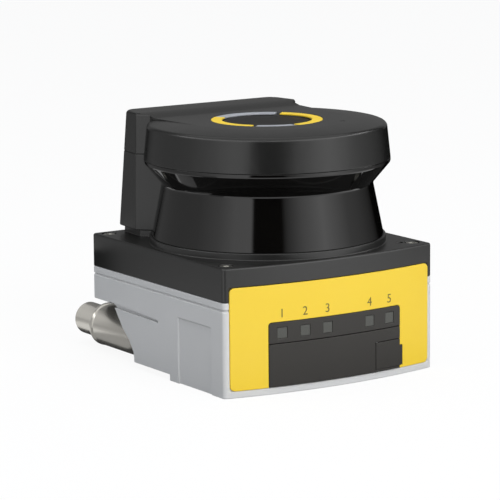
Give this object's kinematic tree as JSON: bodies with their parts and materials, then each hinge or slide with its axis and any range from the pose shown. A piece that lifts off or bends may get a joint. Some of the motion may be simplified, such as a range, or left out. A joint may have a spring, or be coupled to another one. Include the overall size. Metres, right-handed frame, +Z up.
{
  "type": "safety laser scanner",
  "caption": "Compact safety laser scanner: cast base with plug connector and front lamp panel, round head with wraparound dark window and a spinning scan mirror inside.",
  "frame": {"origin": "foot of the scan axis, on the underside of the base", "axes": "+Z up along the scan axis, -Y towards the front panel, +X to the right seen from the front"},
  "size_m": [0.14, 0.1846, 0.1435],
  "materials": {
    "grey_diecast": "painted grey, fine matt",
    "black_plastic": "fine textured",
    "window_tint": "polished, dark tint",
    "yellow_plastic": "smooth satin",
    "grey_ring": "satin",
    "panel_plastic": "satin",
    "lamp_plastic": "diffusing",
    "rubber": "matt",
    "bright_steel": "plain",
    "plated_metal": "turned and nickel plated",
    "contact_gold": "plated",
    "raw_aluminium": "machined",
    "circuit_board": "solder mask",
    "dark_component": "moulded",
    "pale_component": "moulded",
    "blue_module": "moulded",
    "copper_wire": "enamelled",
    "magnet": "sintered",
    "lamination": "stamped",
    "optical_glass": "polished",
    "mirror_glass": "front coated",
    "sensor_red": "filtered"
  },
  "bodies": {
    "root": {"base_housing": "grey_diecast", "housing_seal": "rubber", "scanner_housing": "black_plastic", "rear_tower": "black_plastic", "optics_window": "window_tint", "window_foot_seal": "rubber", "window_rim_seal": "rubber", "head_cap": "black_plastic", "top_ring_yellow": "yellow_plastic", "top_ring_grey": "grey_ring", "top_inlay": "panel_plastic", "corner_screws": "bright_steel", "tower_screws": "bright_steel", "front_bezel": "yellow_plastic", "lamp_strip": "panel_plastic", "lamp_windows": "lamp_plastic", "display_cover": "panel_plastic", "port_cap_pin": "bright_steel", "port_socket": "bright_steel", "display_module": "dark_component", "display_board": "circuit_board", "indicator_leds": "pale_component", "connector_shell": "plated_metal", "connector_ring": "plated_metal", "connector_insert": "dark_component", "connector_pins": "contact_gold", "connector_seal": "rubber", "connector_nut": "plated_metal", "connector_board": "circuit_board", "board_link": "pale_component", "main_board": "circuit_board", "board_spacers": "contact_gold", "board_screws": "bright_steel", "board_components": "dark_component", "memory_module": "blue_module", "backplane_board": "circuit_board", "backplane_socket": "pale_component", "motor_bracket": "raw_aluminium", "bracket_screws": "bright_steel", "shaft_bearings": "bright_steel", "motor_stator": "lamination", "motor_coils": "copper_wire", "encoder_sensor": "dark_component", "optics_frame": "raw_aluminium", "cap_screws": "bright_steel", "lens_barrel": "dark_component", "receiver_lens": "optical_glass", "laser_module": "contact_gold", "receiver_board": "circuit_board", "receiver_sensor": "bright_steel", "monitor_emitters": "sensor_red", "monitor_receivers": "sensor_red"},
    "rotor": {"rotor_shaft": "bright_steel", "rotor_cup": "lamination", "rotor_magnet": "magnet", "encoder_disc": "optical_glass", "mirror_carrier": "raw_aluminium", "scan_mirror": "mirror_glass"},
    "flap": {"port_cap": "panel_plastic"}
  },
  "joints": [
    {"name": "mirror_spin", "type": "hinge", "parent": "root", "child": "rotor", "pos_m": [0, 0, 0.091], "axis": [0, 0, 1], "continuous": true},
    {"name": "port_cap_hinge", "type": "hinge", "parent": "root", "child": "flap", "pos_m": [0.0271, -0.06831, 0.013], "axis": [0, 0, -1], "range_deg": [0, 100]}
  ]
}
